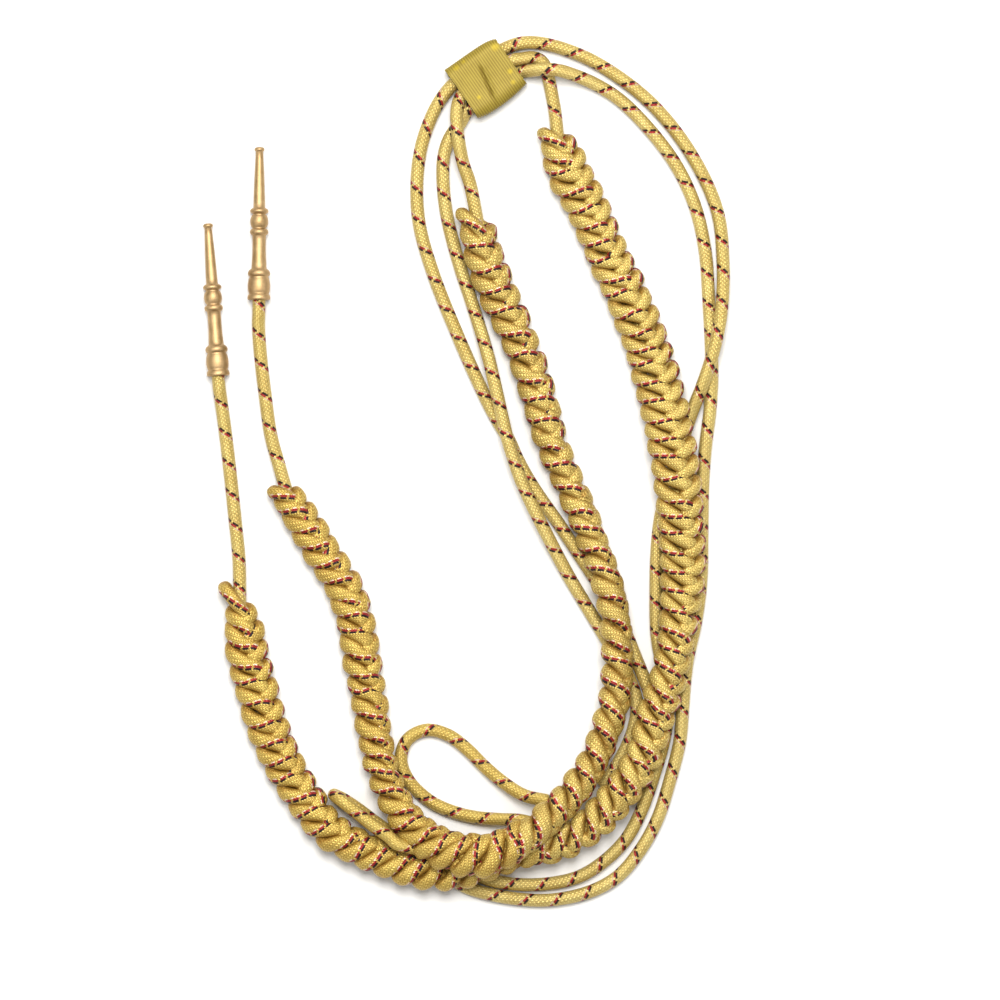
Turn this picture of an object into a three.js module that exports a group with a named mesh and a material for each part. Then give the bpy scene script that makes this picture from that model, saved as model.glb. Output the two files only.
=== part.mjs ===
import * as THREE from 'three';

// Aiguillette laid flat: plaited cord, plain cord loops, a ribbon keeper and two turned tags.
// Millimetres, Z up. The routes below lie on a plan grid: u to the right, v towards the near edge.

// Cord
const CORD_D = 6.5;
const CORD_SIDES = 8;
const CORD_STEP = 19.5;
const SHORT_STEP = 9.5;
const CORD_LEAD = 6;
const GAP = 0.3;

// Plait
const PLAIT_WIDE = 21.5;
const PLAIT_DEEP = 14;
const PLAIT_END = 0.62;
const PLAIT_RELIEF = 0.17;
const INNER_PITCH = 11.5;
const OUTER_PITCH = 9.6;
const TAIL_PITCH = 10.2;

// Keeper band
const BAND_LONG = 29.5;
const BAND_WIDE = 28;
const BAND_WALL = 1;
const BAND_SLACK = 2.6;
const BAND_CORNER = 4.2;
const BAND_TURN = 35;

// Plan grid
const GRID = 0.5;
const BAND_U = 486.3;
const BAND_V = 78.1;

// Tags
const TAG_SIDES = 12;
const SOCKET_DEEP = 8;
const BULGE_FROM = 0.3;
const BULGE_TO = 0.7;

const CORD_R = CORD_D / 2;
const LIFT = CORD_D + GAP;

// Turned tag, from the cord end to the tip: length, radius at the start, in the middle and at the end
const TAG_ROWS = [
  { name: 'rim', long: 3.0, r0: 5.5, r1: 5.7, r2: 5.0 },
  { name: 'barrel', long: 8.6, r0: 4.9, r1: 5.6, r2: 4.6 },
  { name: 'shoulder', long: 3.9, r0: 4.7, r1: 5.6, r2: 4.1 },
  { name: 'stem', long: 16.8, r0: 3.8, r1: null, r2: 3.4 },
  { name: 'lower_collar', long: 3.4, r0: 3.6, r1: 4.65, r2: 3.5 },
  { name: 'ball', long: 7.3, r0: 3.2, r1: 4.5, r2: 3.1 },
  { name: 'upper_collar', long: 3.0, r0: 3.4, r1: 4.65, r2: 3.3 },
  { name: 'taper', long: 28.4, r0: 2.9, r1: null, r2: 1.8 },
  { name: 'tip', long: 2.1, r0: 2.0, r1: 2.5, r2: 1.7 },
];

// Section of a plait: bearing in degrees, how far the stitch lags there, its share of the relief
const STITCH_SIDES = [
  { bearing: -4, lag: 0.75, share: 1.0 },
  { bearing: 30, lag: 0.5, share: 0.9 },
  { bearing: 68, lag: 0.25, share: 0.7 },
  { bearing: 108, lag: 0.0, share: 1.0 },
  { bearing: 138, lag: 0.5, share: 0.8 },
  { bearing: 176, lag: 0.75, share: 1.0 },
  { bearing: 245, lag: 0.25, share: 0.6 },
  { bearing: 293, lag: 0.25, share: 0.6 },
];
const STITCH_STEPS = 4;

// Plait routes: u, v, lift in cord heights, share of the full width
const INNER_UPPER = [
  [479, 222, 0.6, 0.66],
  [479, 238, 0.55, 0.86],
  [486, 263, 0.35, 0.93],
  [496, 290, 0.2, 0.93],
  [507, 313, 0.05, 0.9],
  [517, 335, 0, 0.86],
  [528, 364, 0, 0.86],
  [538, 395, 0, 0.84],
  [547, 428, 0, 0.8],
  [556, 455, 0, 0.76],
  [569, 484, 0, 0.74],
  [581, 512, 0, 0.74],
  [593, 545, 0.35, 0.74],
  [602, 570, 0.86, 0.76],
  [609, 595, 1, 0.76],
  [614, 620, 1, 0.76],
  [616, 645, 1, 0.78],
  [616, 672, 1, 0.78],
  [613, 700, 1, 0.78],
  [607, 722, 1, 0.76],
  [600, 742, 1.05, 0.76],
  [591, 762, 1.15, 0.78],
  [580, 780, 1.3, 0.8],
  [566, 797, 1.5, 0.8],
  [551, 812, 1.9, 0.8],
  [534, 828, 2.4, 0.8],
  [520, 838.6, 2.65, 0.8],
];
const INNER_LOWER = [
  [284, 491, 0, 0.62],
  [293, 505, 0, 0.8],
  [309, 531, 0, 0.86],
  [326, 559, 0, 0.86],
  [342, 583, 0, 0.88],
  [350, 603, 0, 0.9],
  [357, 630, 0, 0.92],
  [361, 660, 0, 0.92],
  [368, 697, 0.05, 0.86],
  [373, 729, 0.25, 0.84],
  [379, 760, 0.42, 0.82],
  [384, 778, 0.6, 0.8],
  [392, 796, 0.85, 0.8],
  [402, 813, 1.1, 0.82],
  [415, 829, 1.45, 0.86],
  [436, 843, 2.1, 0.9],
  [462, 852, 2.5, 0.92],
  [488, 853, 2.75, 0.9],
  [506, 847.5, 2.72, 0.84],
  [518.4, 839.8, 2.66, 0.8],
];
const OUTER_UPPER = [
  [556, 137, 0, 0.66],
  [561, 154, 0, 0.98],
  [571, 178, 0, 1.05],
  [587, 208, 0, 1],
  [606, 252, 0, 1],
  [620, 281, 0, 1.02],
  [639, 325, 0, 1.05],
  [654, 370, 0, 1.1],
  [664, 410, 0.45, 1.12],
  [671, 446, 0.98, 1.12],
  [676, 480, 0.97, 1.1],
  [680, 520, 0.77, 1.08],
  [682, 560, 0.55, 1.08],
  [681, 590, 0.6, 1.02],
  [678, 618, 0.75, 0.9],
  [674, 645, 1, 0.86],
  [669, 670, 1, 0.86],
  [661, 697, 1, 0.9],
  [652, 722, 1, 0.92],
  [645, 750, 1, 0.9],
  [630, 777, 1, 0.9],
  [614, 799, 0.95, 0.9],
  [595, 819, 0.85, 0.88],
  [574, 835, 0.8, 0.86],
  [556, 842.5, 0.77, 0.84],
  [540, 847, 0.75, 0.84],
];
const OUTER_LOWER = [
  [238, 602, 0, 0.66],
  [243, 622, 0, 0.92],
  [247, 655, 0, 1],
  [257, 690, 0, 1],
  [267, 726, 0, 0.98],
  [280, 757, 0, 0.96],
  [303, 796, 0.1, 0.9],
  [328, 829, 0.45, 0.88],
  [347, 842, 0.5, 0.88],
  [368, 852, 0.5, 0.86],
  [395, 864, 0.5, 0.86],
  [420, 871, 0.55, 0.92],
  [446, 873, 0.6, 0.92],
  [472, 869, 0.68, 0.9],
  [492, 861, 0.7, 0.88],
  [508, 856, 0.72, 0.86],
  [524, 851.5, 0.74, 0.84],
  [538.8, 847.4, 0.75, 0.84],
];

// Plain cord routes: u, v, lift in cord heights
const ARM_OUTER = [
  [618, 789, 0],
  [631, 770, 0],
  [643, 747, 0],
  [650, 722, 0],
  [651, 700, 0],
  [644, 678, 0],
  [636, 658, 0],
  [628, 638, 0],
  [616, 613, 0],
  [602, 590, 0],
  [588, 568, 0],
  [573, 545, 0],
  [557, 521, 0],
  [542, 500, 0],
  [529, 480, 0],
  [518, 460, 0],
  [509, 440, 0],
  [495, 416, 0],
  [482, 390, 0],
  [458, 336, 0],
  [432, 270, 0],
  [419, 222, 0],
  [417, 181, 0],
  [421, 148, 0],
  [430, 120, 0.03],
  [441, 99, 0.12],
  [454.1, 83.5, 0.19],
  [478.3, 66.6, 0.19],
  [502.5, 49.7, 0.19],
  [521, 43, 0.14],
  [540, 43, 0.03],
  [569, 50.5, 0],
  [602, 66, 0],
  [650, 102, 0],
  [690, 152, 0],
  [717, 210, 0],
  [723, 260, 0.1],
  [722, 303, 0.6],
  [718, 331, 1.03],
  [711, 359, 1.08],
  [702, 386, 0.83],
  [692, 412, 0.2],
  [683, 440, 0],
  [671, 480, 0],
  [661, 515, 0],
  [657, 550, 0],
  [656, 590, 0],
  [657, 636, 0],
  [663, 670, 0],
  [668, 705, 0],
  [664, 740, 0],
  [654, 775, 0],
  [642, 809, 0],
  [626, 839, 0],
  [603, 862, 0],
  [578, 877, 0],
  [545, 884, 0],
  [513, 884, 0],
  [490, 880, 0],
];
const ARM_INNER = [
  [603, 785, 0],
  [615, 768, 0],
  [626, 748, 0],
  [634, 727, 0],
  [637, 704, 0],
  [630, 680, 0],
  [619, 660, 0],
  [607, 640, 0],
  [595, 620, 0],
  [583, 600, 0],
  [571, 580, 0.05],
  [560, 560, 0.3],
  [546, 533, 0.72],
  [532, 505, 0.85],
  [521, 480, 0.95],
  [513, 457, 1],
  [507, 437, 1.03],
  [502, 416, 1.03],
  [495, 385, 0.95],
  [487, 352, 0.5],
  [473, 306, 0],
  [459, 263, 0],
  [447, 216, 0],
  [443, 181, 0],
  [444, 155, 0],
  [450, 137, 0],
  [459, 125, 0],
  [470.4, 106.9, 0.26],
  [494.6, 90, 0.19],
  [518.8, 73.1, 0.22],
  [531, 71, 0.6],
  [543, 70, 1.02],
  [556, 70.5, 1.06],
  [570, 74, 0.75],
  [597, 85, 0.1],
  [625, 104, 0],
  [671, 157, 0],
  [694, 203, 0],
  [705, 250, 0],
  [709, 303, 0],
  [711, 340, 0],
  [712, 375, 0],
  [710, 410, 0],
  [706, 442, 0],
  [703, 480, 0],
  [702, 530, 0],
  [701, 580, 0],
  [696, 620, 0],
  [687, 663, 0],
  [683, 705, 0],
  [680, 740, 0],
  [670, 780, 0],
  [657, 820, 0],
  [639, 852, 0],
  [617, 877, 0],
  [589, 892, 0],
  [550, 900, 0],
  [510, 898, 0],
  [474, 890, 0],
];
const SHOULDER = [
  [477, 207, 0.75],
  [470, 184, 0.65],
  [463, 163, 0.8],
  [459, 143, 1.04],
  [457, 126, 1.13],
  [457, 110, 0.92],
  [462.1, 95, 0.56],
  [486.3, 78.1, 0.56],
  [510.5, 61.2, 0.55],
  [522, 58.8, 0.34],
  [533, 57.5, 0.08],
  [541, 60.5, 0],
  [546.5, 69, 0],
  [549, 80, 0],
  [552, 95, 0],
  [555, 112, 0.1],
  [556, 122, 0.3],
];
const FRONT_LOOP = [
  [547, 800, 1.46],
  [524, 795, 0.8],
  [503, 782, 0.3],
  [484, 766, 0],
  [467, 749, 0],
  [448, 735, 0],
  [426, 730, 0],
  [407, 740, 0],
  [401, 760, 0],
  [409, 781, 0],
  [430, 801, 0],
  [451, 811, 0.05],
  [475, 817, 0.2],
  [499, 819, 0.6],
  [520, 819.5, 1.6],
];
const BACK_LOOP = [
  [397, 842.4, 2.68],
  [390, 836, 2.45],
  [374, 825, 1.9],
  [356, 811, 1.6],
  [342, 800, 1.5],
  [335, 795, 1],
  [335, 795, 0.5],
  [343, 799, 0.05],
  [358, 809, 0],
  [378, 824, 0],
  [398, 838, 0],
  [413, 847, 0],
];

// Tag places: u and v of the tip and of the cord end
const TAG_LEFT = { tip: [208, 226], foot: [218.5, 376] };
const TAG_RIGHT = { tip: [259.5, 147], foot: [259, 300] };
const TAG_CORD_LEFT = [
  [221, 400, 0.22],
  [225, 430, 0],
  [230, 472, 0],
  [235, 519, 0],
  [239, 560, 0],
  [239, 585, 0.3],
];
const TAG_CORD_RIGHT = [
  [258.5, 324, 0.22],
  [260, 350, 0.02],
  [265, 394, 0],
  [271, 436, 0],
  [279, 465, 0.1],
  [283, 480, 0.35],
];

const gold = { color: 0xd3b154, roughness: 0.46, metalness: 0.3 };
const paleGold = { color: 0xdcbd62, roughness: 0.46, metalness: 0.3 };
const ribbon = { color: 0xb8a24a, roughness: 0.7, metalness: 0.1 };
const brass = { color: 0xd2a65c, roughness: 0.32, metalness: 0.9 };

// A soft route: it never sags below the height at which it lies on the floor
class LaidCurve extends THREE.Curve {
  constructor(points, floor) {
    super();
    this.inner = new THREE.CatmullRomCurve3(points, false, 'centripetal');
    this.floor = floor;
    this.arcLengthDivisions = 800;
  }

  getPoint(t, target = new THREE.Vector3()) {
    this.inner.getPoint(t, target);
    target.z = Math.max(target.z, this.floor);
    return target;
  }
}

const onGrid = ([u, v, lift], floor) => new THREE.Vector3(u * GRID, -v * GRID, floor + lift * LIFT);

function piece(name, geometry, look) {
  const mesh = new THREE.Mesh(geometry, new THREE.MeshStandardMaterial({ ...look }));
  mesh.name = name;
  return mesh;
}

function cordOnCurve(name, curve, step, look) {
  const section = new THREE.Shape();
  for (let i = 0; i < CORD_SIDES; i++) {
    const a = ((i + 0.5) / CORD_SIDES) * Math.PI * 2;
    const x = Math.cos(a) * CORD_R;
    const y = Math.sin(a) * CORD_R;
    if (i) section.lineTo(x, y);
    else section.moveTo(x, y);
  }
  section.closePath();
  const steps = Math.round(curve.getLength() / step);
  const tube = new THREE.ExtrudeGeometry(section, { steps, bevelEnabled: false, extrudePath: curve });
  return piece(name, tube, look);
}

const cord = (name, route, step, look) =>
  cordOnCurve(name, new LaidCurve(route.map((p) => onGrid(p, CORD_R)), CORD_R), step, look);

// The last two points of a cord that runs straight up to the first section of a plait
function meeting(plaitCurve) {
  const at = plaitCurve.getPointAt(0);
  const along = plaitCurve.getTangentAt(0);
  return [GAP + CORD_LEAD, GAP].map((back) => at.clone().addScaledVector(along, -back));
}

// Width share at a place along a plait, straight between the rows of its route
function widthAt(route, curve, s) {
  const n = route.length - 1;
  const t = curve.getUtoTmapping(s) * n;
  const i = Math.min(Math.floor(t), n - 1);
  return route[i][3] + (route[i + 1][3] - route[i][3]) * (t - i);
}

function plait(name, route, pitch, look) {
  const curve = new LaidCurve(route.map((p) => onGrid(p, PLAIT_DEEP / 2)), PLAIT_DEEP / 2);
  const stitches = Math.round(curve.getLength() / pitch);
  const steps = stitches * STITCH_STEPS;
  const up = new THREE.Vector3(0, 0, 1);
  const sides = STITCH_SIDES.length;
  const spots = [];
  const faces = [];
  for (let k = 0; k <= steps; k++) {
    const s = k / steps;
    const at = curve.getPointAt(s);
    const along = curve.getTangentAt(s);
    const right = new THREE.Vector3().crossVectors(along, up).normalize();
    const rise = new THREE.Vector3().crossVectors(right, along);
    const wide = PLAIT_WIDE * widthAt(route, curve, s);
    const end = k === 0 || k === steps ? PLAIT_END : 1;
    for (const side of STITCH_SIDES) {
      const a = THREE.MathUtils.degToRad(side.bearing);
      const wave = 0.5 + 0.5 * Math.cos((k / STITCH_STEPS + side.lag) * Math.PI * 2);
      const swell = end * (1 - PLAIT_RELIEF * side.share * wave);
      const x = Math.cos(a) * (wide / 2) * swell;
      const y = Math.sin(a) * (PLAIT_DEEP / 2) * swell;
      const spot = at.clone().addScaledVector(right, x).addScaledVector(rise, y);
      spots.push(spot.x, spot.y, spot.z);
    }
  }
  for (let k = 0; k < steps; k++) {
    for (let i = 0; i < sides; i++) {
      const a = k * sides + i;
      const b = k * sides + ((i + 1) % sides);
      faces.push(a, a + sides, b, b, a + sides, b + sides);
    }
  }
  const last = steps * sides;
  for (let i = 1; i < sides - 1; i++) {
    faces.push(0, i, i + 1);
    faces.push(last, last + i + 1, last + i);
  }
  const geometry = new THREE.BufferGeometry();
  geometry.setAttribute('position', new THREE.Float32BufferAttribute(spots, 3));
  geometry.setIndex(faces);
  geometry.computeVertexNormals();
  return { mesh: piece(name, geometry, look), curve };
}

function keeperBand(look) {
  const high = CORD_D + 2 * (BAND_WALL + GAP) + BAND_SLACK;
  const outline = (shape, wide, tall, corner) => {
    const x = wide / 2;
    const y = tall / 2;
    shape.moveTo(corner - x, -y);
    shape.lineTo(x - corner, -y);
    shape.quadraticCurveTo(x, -y, x, corner - y);
    shape.lineTo(x, y - corner);
    shape.quadraticCurveTo(x, y, x - corner, y);
    shape.lineTo(corner - x, y);
    shape.quadraticCurveTo(-x, y, -x, y - corner);
    shape.lineTo(-x, corner - y);
    shape.quadraticCurveTo(-x, -y, corner - x, -y);
    return shape;
  };
  const ring = outline(new THREE.Shape(), BAND_WIDE, high, BAND_CORNER);
  const inner = BAND_CORNER - BAND_WALL;
  ring.holes.push(outline(new THREE.Path(), BAND_WIDE - 2 * BAND_WALL, high - 2 * BAND_WALL, inner));
  const options = { depth: BAND_LONG, bevelEnabled: false, curveSegments: 4 };
  const geometry = new THREE.ExtrudeGeometry(ring, options);
  geometry.translate(0, 0, -BAND_LONG / 2);
  geometry.rotateX(Math.PI / 2);
  geometry.rotateZ(THREE.MathUtils.degToRad(BAND_TURN - 90));
  geometry.translate(BAND_U * GRID, -BAND_V * GRID, high / 2);
  return piece('keeper_band', geometry, look);
}

// The far end of a row's bulge: its place up the tag and its radius
function bulge(name) {
  let y = 0;
  for (const row of TAG_ROWS) {
    if (row.name === name) return { y: y + row.long * BULGE_TO, r: row.r1 };
    y += row.long;
  }
  return null;
}

// The tag lies on its shoulder and its upper collar, so its axis dips towards the tip
function tagFrame({ tip, foot }) {
  const back = bulge('shoulder');
  const front = bulge('upper_collar');
  const dip = Math.asin((back.r - front.r) / (front.y - back.y));
  const flat = new THREE.Vector2((tip[0] - foot[0]) * GRID, (foot[1] - tip[1]) * GRID).normalize();
  const along = new THREE.Vector3(flat.x * Math.cos(dip), flat.y * Math.cos(dip), -Math.sin(dip));
  const height = back.r / Math.cos(dip) + back.y * Math.sin(dip);
  return { along, start: new THREE.Vector3(foot[0] * GRID, -foot[1] * GRID, height) };
}

function tag(name, place, look) {
  const bore = CORD_R + 2 * GAP;
  const profile = [new THREE.Vector2(0, SOCKET_DEEP)];
  profile.push(new THREE.Vector2(bore, SOCKET_DEEP));
  profile.push(new THREE.Vector2(bore, 0));
  let y = 0;
  for (const row of TAG_ROWS) {
    profile.push(new THREE.Vector2(row.r0, y));
    if (row.r1 !== null) {
      profile.push(new THREE.Vector2(row.r1, y + row.long * BULGE_FROM));
      profile.push(new THREE.Vector2(row.r1, y + row.long * BULGE_TO));
    }
    y += row.long;
    profile.push(new THREE.Vector2(row.r2, y));
  }
  profile.push(new THREE.Vector2(0, y));
  const geometry = new THREE.LatheGeometry(profile, TAG_SIDES);
  const { along, start } = tagFrame(place);
  geometry.applyQuaternion(new THREE.Quaternion().setFromUnitVectors(new THREE.Vector3(0, 1, 0), along));
  geometry.translate(start.x, start.y, start.z);
  return piece(name, geometry, look);
}

// The tag's cord starts in its socket, lies down, and ends just short of the plait's first section
function tagCord(name, place, route, plaitCurve, look) {
  const { along, start } = tagFrame(place);
  const points = [start.clone().addScaledVector(along, SOCKET_DEEP - GAP)];
  points.push(start.clone().addScaledVector(along, -CORD_LEAD));
  for (const p of route) points.push(onGrid(p, CORD_R));
  points.push(...meeting(plaitCurve));
  return cordOnCurve(name, new LaidCurve(points, CORD_R), SHORT_STEP, look);
}

const group = new THREE.Group();
group.name = 'aiguillette';
const innerUpper = plait('inner_plait_upper', INNER_UPPER, INNER_PITCH, gold);
const innerLower = plait('inner_plait_lower', INNER_LOWER, TAIL_PITCH, gold);
const outerUpper = plait('outer_plait_upper', OUTER_UPPER, OUTER_PITCH, paleGold);
const outerLower = plait('outer_plait_lower', OUTER_LOWER, TAIL_PITCH, paleGold);
group.add(innerUpper.mesh, innerLower.mesh, outerUpper.mesh, outerLower.mesh);
group.add(cord('arm_cord_outer', ARM_OUTER, CORD_STEP, gold));
group.add(cord('arm_cord_inner', ARM_INNER, CORD_STEP, paleGold));
const shoulder = [...meeting(innerUpper.curve).reverse(), ...SHOULDER.map((p) => onGrid(p, CORD_R))];
shoulder.push(...meeting(outerUpper.curve));
group.add(cordOnCurve('shoulder_cord', new LaidCurve(shoulder, CORD_R), SHORT_STEP, gold));
group.add(cord('front_button_loop', FRONT_LOOP, SHORT_STEP, gold));
group.add(cord('back_button_loop', BACK_LOOP, CORD_STEP, paleGold));
group.add(keeperBand(ribbon));
group.add(tag('tag_left', TAG_LEFT, brass));
group.add(tag('tag_right', TAG_RIGHT, brass));
group.add(tagCord('tag_cord_left', TAG_LEFT, TAG_CORD_LEFT, outerLower.curve, gold));
group.add(tagCord('tag_cord_right', TAG_RIGHT, TAG_CORD_RIGHT, innerLower.curve, gold));

// The part stands at the middle of its box, on the floor
const box = new THREE.Box3().setFromObject(group);
const middle = box.getCenter(new THREE.Vector3());
for (const mesh of group.children) mesh.geometry.translate(-middle.x, -middle.y, -box.min.z);

export default group;
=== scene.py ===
import math

import bpy
import numpy as np
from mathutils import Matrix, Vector


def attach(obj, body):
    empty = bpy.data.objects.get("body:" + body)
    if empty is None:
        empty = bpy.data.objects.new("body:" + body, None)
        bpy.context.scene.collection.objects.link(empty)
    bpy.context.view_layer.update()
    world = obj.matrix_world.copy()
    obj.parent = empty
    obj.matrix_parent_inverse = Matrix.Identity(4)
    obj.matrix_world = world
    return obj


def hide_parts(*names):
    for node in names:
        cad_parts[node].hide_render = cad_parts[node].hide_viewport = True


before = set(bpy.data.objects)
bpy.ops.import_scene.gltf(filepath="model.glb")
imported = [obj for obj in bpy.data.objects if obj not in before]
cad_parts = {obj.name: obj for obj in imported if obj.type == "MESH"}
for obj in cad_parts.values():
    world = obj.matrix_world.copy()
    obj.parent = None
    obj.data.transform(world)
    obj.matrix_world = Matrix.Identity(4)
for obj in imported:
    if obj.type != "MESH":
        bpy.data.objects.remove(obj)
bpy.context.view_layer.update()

# Sizes in metres
CORD_D = 0.0065
CORD_R = CORD_D / 2
GAP = 0.0003
LIFT = CORD_D + GAP
PLAIT_WIDE = 0.0215
PLAIT_DEEP = 0.014
INNER_PITCH = 0.0115
OUTER_PITCH = 0.0096
TAIL_PITCH = 0.0102
BAND_LONG = 0.0295
BAND_WIDE = 0.028
BAND_HIGH = 0.0117
BAND_TURN = math.radians(35)
BAND_CORNER = 0.0042
BAND_WALL = 0.001
RIB_DEEP = 0.00022
FRAY = 0.00012
BELLY = 0.0013
BELLY_SKEW = 0.001
SOCKET_DEEP = 0.008
STRAIGHT_OUT = 0.006
RUN_IN = 0.004
CORD_STEP = 0.002
PLAIT_CORD_R = CORD_R * 1.02
FLOOR_GAP = 0.0001
CORD_TRACER_PITCH = 0.0156
PLAIT_TRACER_PITCH = 0.030

# Mesh detail: sides of a cord and a tag, steps round the band, its ribs and the rows of each
TUBE_SIDES = 16
TAG_SIDES = 64
BAND_AROUND = 132
BAND_RIBS = 23
RIB_ROWS = 8

# Cord ends: bulge as a share of the half thickness, shares of it for the ring, and millimetres of v
DOME = 0.45
DOME_RING_OUT = 0.8
DOME_RING_WIDE = 0.66
DOME_V = 3.0

# Plait section: how square it is, and how dark the painted shade on its flanks is, from which share and over
# which
PLAIT_SQUARE = 2.5
PLAIT_FLANK_SHADE = 0.75
FLANK_START = 0.72
FLANK_FADE = 0.2

UP = np.array((0.0, 0.0, 1.0))

# Plan grid: u to the right, v towards the near edge, half a millimetre each
GRID = 0.0005
GRID_U = 466.118
GRID_V = 472.103
BAND_U = 486.3
BAND_V = 78.1

# Camera: millimetres of lens and sensor, and the width in view and the height aimed at in metres
LENS = 300
SENSOR = 36
VIEW_WIDE = 1000 * GRID
AIM_HIGH = 0.004

# Plait routes: u, v, lift in cord heights, share of the full width
INNER_UPPER = [
    (479, 222, 0.6, 0.74), (479, 238, 0.55, 0.9), (486, 263, 0.35, 0.93), (496, 290, 0.2, 0.93),
    (507, 313, 0.05, 0.9), (517, 335, 0, 0.86), (528, 364, 0, 0.86), (538, 395, 0, 0.84),
    (547, 428, 0, 0.8), (556, 455, 0, 0.76), (569, 484, 0, 0.74), (581, 512, 0, 0.74),
    (593, 545, 0.35, 0.74), (602, 570, 0.86, 0.76), (609, 595, 1, 0.76), (614, 620, 1, 0.76),
    (616, 645, 1, 0.78), (616, 672, 1, 0.78), (613, 700, 1, 0.78), (607, 722, 1, 0.76),
    (600, 742, 1.05, 0.76), (591, 762, 1.15, 0.78), (580, 780, 1.3, 0.8), (566, 797, 1.5, 0.8),
    (551, 812, 1.9, 0.8), (534, 828, 2.4, 0.8), (520, 838.6, 2.65, 0.8),
]
INNER_LOWER = [
    (284, 491, 0, 0.62), (293, 505, 0, 0.8), (309, 531, 0, 0.86), (326, 559, 0, 0.86),
    (342, 583, 0, 0.88), (350, 603, 0, 0.9), (357, 630, 0, 0.92), (361, 660, 0, 0.92),
    (368, 697, 0.05, 0.86), (373, 729, 0.25, 0.84), (379, 760, 0.42, 0.82), (384, 778, 0.6, 0.8),
    (392, 796, 0.85, 0.8), (402, 813, 1.1, 0.82), (415, 830, 1.45, 0.92), (436, 845, 2.1, 1.02),
    (462, 854.5, 2.5, 1.12), (488, 855, 2.75, 1.12), (506, 849, 2.72, 1),
    (518.4, 839.8, 2.66, 0.86),
]
OUTER_UPPER = [
    (556, 137, 0, 0.66), (561, 154, 0, 0.98), (571, 178, 0, 1.05), (587, 208, 0, 1),
    (606, 252, 0, 1), (620, 281, 0, 1.02), (639, 325, 0, 1.05), (654, 370, 0, 1.1),
    (664, 410, 0.45, 1.12), (671, 446, 0.98, 1.12), (676, 480, 0.97, 1.1),
    (680, 520, 0.77, 1.08), (682, 560, 0.55, 1.08), (681, 590, 0.6, 1.02), (678, 618, 0.75, 0.9),
    (674, 645, 1, 0.86), (669, 670, 1, 0.86), (661, 697, 1, 0.9), (652, 722, 1, 0.92),
    (645, 750, 1, 0.9), (630, 777, 1, 0.9), (614, 799, 0.95, 0.9), (595, 819, 0.85, 0.88),
    (574, 835, 0.8, 0.86), (556, 842.5, 0.77, 0.84), (540, 847, 0.75, 0.84),
]
OUTER_LOWER = [
    (238, 602, 0, 0.58), (243, 622, 0, 0.86), (247, 655, 0, 1), (257, 690, 0, 1),
    (267, 726, 0, 0.98), (280, 757, 0, 0.96), (303, 796, 0.1, 0.9), (328, 829, 0.45, 0.88),
    (347, 842, 0.5, 0.88), (368, 852, 0.5, 0.86), (395, 864, 0.5, 0.86), (420, 871, 0.55, 0.92),
    (446, 873, 0.6, 0.92), (472, 869, 0.68, 0.9), (492, 861, 0.7, 0.88), (508, 856, 0.72, 0.86),
    (524, 851.5, 0.74, 0.84), (538.8, 847.4, 0.75, 0.84),
]

# Plain cord routes: u, v, lift in cord heights
ARM_OUTER = [
    (618, 789, 0), (631, 770, 0), (643, 747, 0), (650, 722, 0), (651, 700, 0), (644, 678, 0),
    (636, 658, 0), (628, 638, 0), (616, 613, 0), (602, 590, 0), (588, 568, 0), (573, 545, 0),
    (557, 521, 0), (542, 500, 0), (529, 480, 0), (518, 460, 0), (509, 440, 0), (495, 416, 0),
    (482, 390, 0), (458, 336, 0), (432, 270, 0), (419, 222, 0), (417, 181, 0), (421, 148, 0),
    (430, 120, 0.03), (441, 99, 0.12), (454.1, 83.5, 0.19), (478.3, 66.6, 0.19),
    (502.5, 49.7, 0.19), (521, 43, 0.14), (540, 43, 0.03), (569, 50.5, 0), (602, 66, 0),
    (650, 102, 0), (690, 152, 0), (717, 210, 0), (723, 260, 0.1), (722, 303, 0.6),
    (718, 331, 1.03), (711, 359, 1.08), (702, 386, 0.83), (692, 412, 0.2), (683, 440, 0),
    (671, 480, 0), (661, 515, 0), (657, 550, 0), (656, 590, 0), (657, 636, 0), (663, 670, 0),
    (668, 705, 0), (664, 740, 0), (654, 775, 0), (642, 809, 0), (626, 839, 0), (603, 862, 0),
    (578, 877, 0), (545, 884, 0), (513, 884, 0), (490, 880, 0),
]
ARM_INNER = [
    (603, 785, 0), (615, 768, 0), (626, 748, 0), (634, 727, 0), (637, 704, 0), (630, 680, 0),
    (619, 660, 0), (607, 640, 0), (595, 620, 0), (583, 600, 0), (571, 580, 0.05),
    (560, 560, 0.3), (546, 533, 0.72), (532, 505, 0.85), (521, 480, 0.95), (513, 457, 1),
    (507, 437, 1.03), (502, 416, 1.03), (495, 385, 0.95), (487, 352, 0.5), (473, 306, 0),
    (459, 263, 0), (447, 216, 0), (443, 181, 0), (444, 155, 0), (450, 137, 0), (459, 125, 0),
    (470.4, 106.9, 0.26), (494.6, 90, 0.19), (518.8, 73.1, 0.22), (531, 71, 0.6),
    (543, 70, 1.02), (556, 70.5, 1.06), (570, 74, 0.75), (597, 85, 0.1), (625, 104, 0),
    (671, 157, 0), (694, 203, 0), (705, 250, 0), (709, 303, 0), (711, 340, 0), (712, 375, 0),
    (710, 410, 0), (706, 442, 0), (703, 480, 0), (702, 530, 0), (701, 580, 0), (696, 620, 0),
    (687, 663, 0), (683, 705, 0), (680, 740, 0), (670, 780, 0), (657, 820, 0), (639, 852, 0),
    (617, 877, 0), (589, 892, 0), (550, 900, 0), (510, 898, 0), (474, 890, 0),
]
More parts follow.
